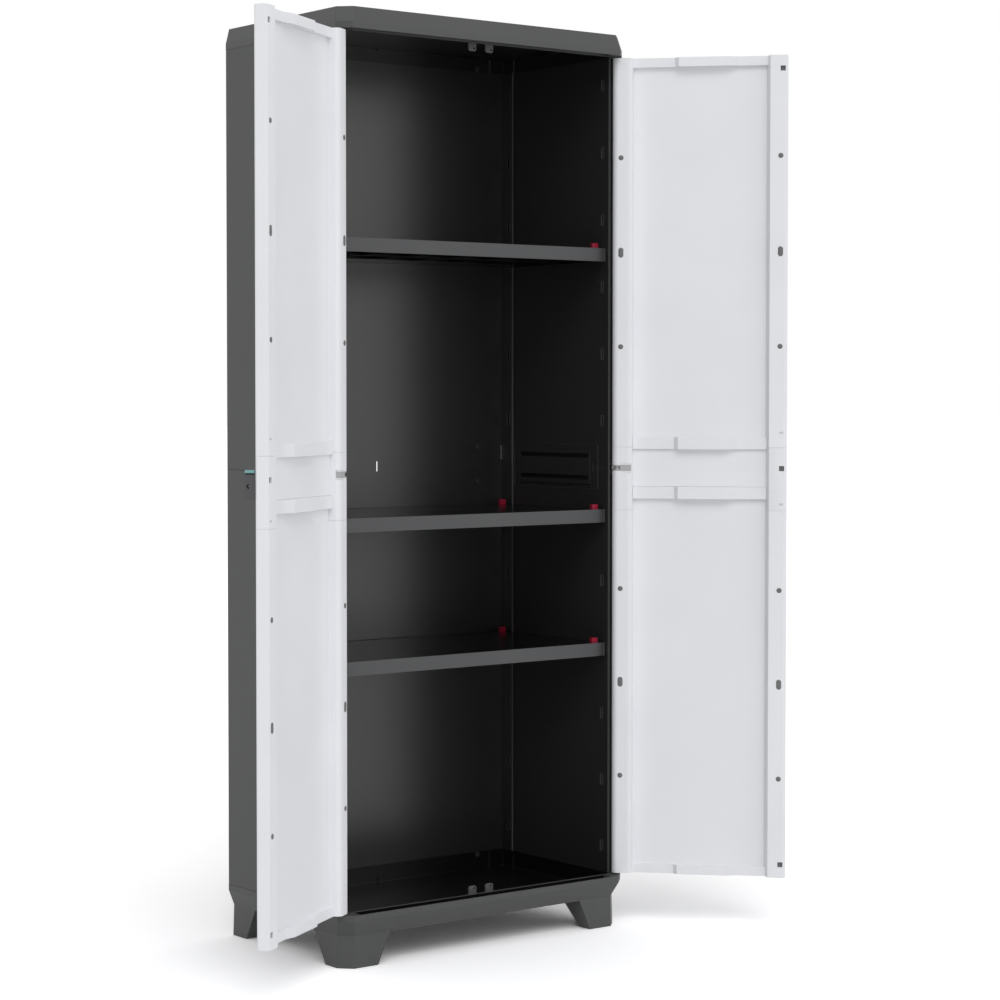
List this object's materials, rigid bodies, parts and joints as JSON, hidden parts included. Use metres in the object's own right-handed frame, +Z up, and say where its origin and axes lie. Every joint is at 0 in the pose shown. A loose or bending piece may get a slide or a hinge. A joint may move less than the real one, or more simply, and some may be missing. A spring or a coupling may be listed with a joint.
{
  "type": "garden storage cabinet",
  "caption": "Tall resin garden storage cabinet on tapered feet, with hinged doors standing open, removable shelves on clips and handles with padlock eyes.",
  "frame": {"origin": "on the floor under the centre of the cabinet's footprint, without the open doors", "axes": "+X to the right seen from the front, +Y to the back, +Z up; the doors hang on vertical axes"},
  "size_m": [1.2052, 0.6242, 1.755],
  "materials": {
    "base_resin": "moulded resin, satin",
    "roof_resin": "moulded resin, satin",
    "wall_resin": "moulded resin, satin",
    "back_resin": "moulded resin, satin",
    "joiner_resin": "moulded resin, satin",
    "peg_resin": "moulded resin, satin",
    "shelf_resin": "moulded resin, satin",
    "clip_resin": "moulded resin, satin",
    "catch_resin": "moulded resin, satin",
    "hinge_resin": "moulded resin, satin",
    "door_resin": "moulded resin, satin",
    "pin_resin": "moulded resin, satin",
    "handle_resin": "moulded resin, satin",
    "strip_resin": "moulded resin, satin"
  },
  "bodies": {
    "cabinet": {"base": "base_resin", "roof": "roof_resin", "left_wall_lower": "wall_resin", "left_wall_upper": "wall_resin", "right_wall_lower": "wall_resin", "right_wall_upper": "wall_resin", "back_panel_lower": "back_resin", "back_panel_upper": "back_resin", "left_wall_joiner": "joiner_resin", "right_wall_joiner": "joiner_resin", "back_pegs": "peg_resin", "shelf_top": "shelf_resin", "shelf_middle": "shelf_resin", "shelf_bottom": "shelf_resin", "shelf_top_clips": "clip_resin", "shelf_middle_clips": "clip_resin", "shelf_bottom_clips": "clip_resin", "roof_catches": "catch_resin", "base_catches": "catch_resin", "left_hinge_bracket": "hinge_resin", "right_hinge_bracket": "hinge_resin"},
    "left_door": {"left_door_pegs": "peg_resin", "left_hinge_leaf": "hinge_resin", "left_door_lower": "door_resin", "left_door_upper": "door_resin", "left_door_coupler": "door_resin", "left_door_pins": "pin_resin", "left_handle": "handle_resin", "left_handle_strip": "strip_resin"},
    "right_door": {"right_door_pegs": "peg_resin", "right_hinge_leaf": "hinge_resin", "right_door_lower": "door_resin", "right_door_upper": "door_resin", "right_door_coupler": "door_resin", "right_door_pins": "pin_resin", "right_handle": "handle_resin", "right_handle_strip": "strip_resin"}
  },
  "joints": [
    {"name": "left_door_hinge", "type": "hinge", "parent": "cabinet", "child": "left_door", "pos_m": [-0.332, -0.178, 0.1], "axis": [0, 0, 1], "range_deg": [-32.2, 147.8]},
    {"name": "right_door_hinge", "type": "hinge", "parent": "cabinet", "child": "right_door", "pos_m": [0.332, -0.178, 0.1], "axis": [0, 0, 1], "range_deg": [-133.3, 46.7]}
  ]
}
